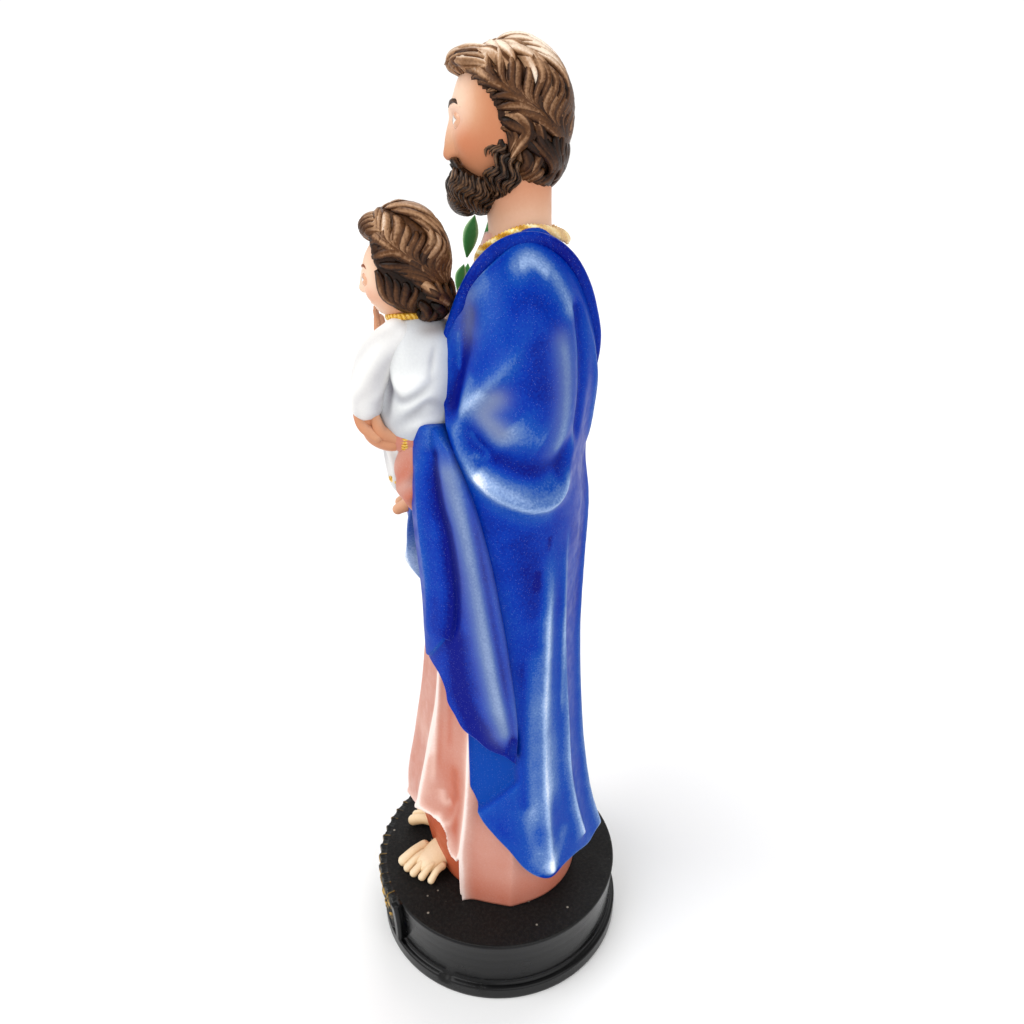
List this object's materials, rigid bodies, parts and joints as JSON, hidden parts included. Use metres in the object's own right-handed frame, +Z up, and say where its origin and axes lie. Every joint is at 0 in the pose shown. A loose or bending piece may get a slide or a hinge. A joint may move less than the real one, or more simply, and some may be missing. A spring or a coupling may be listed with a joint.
{
  "type": "saint joseph statue",
  "caption": "Standing bearded saint in a robe and mantle, carrying a seated child and a lily, painted resin cast on a round black base.",
  "frame": {"origin": "middle of the base's underside, on the surface the statue stands on", "axes": "+Z up, the figure faces -Y, the arm that carries the child is on +X"},
  "size_m": [0.0916, 0.0929, 0.3006],
  "materials": {
    "painted_resin": "hand painted and airbrushed cast resin under a clear pearl gloss: ultramarine mantle, salmon robe, brown hair, gold trims",
    "black_lacquer": "black lacquer, glossy on the wall, rough and speckled on top, gold touched frieze"
  },
  "bodies": {
    "root": {"figure": "painted_resin", "base": "black_lacquer"}
  },
  "joints": []
}
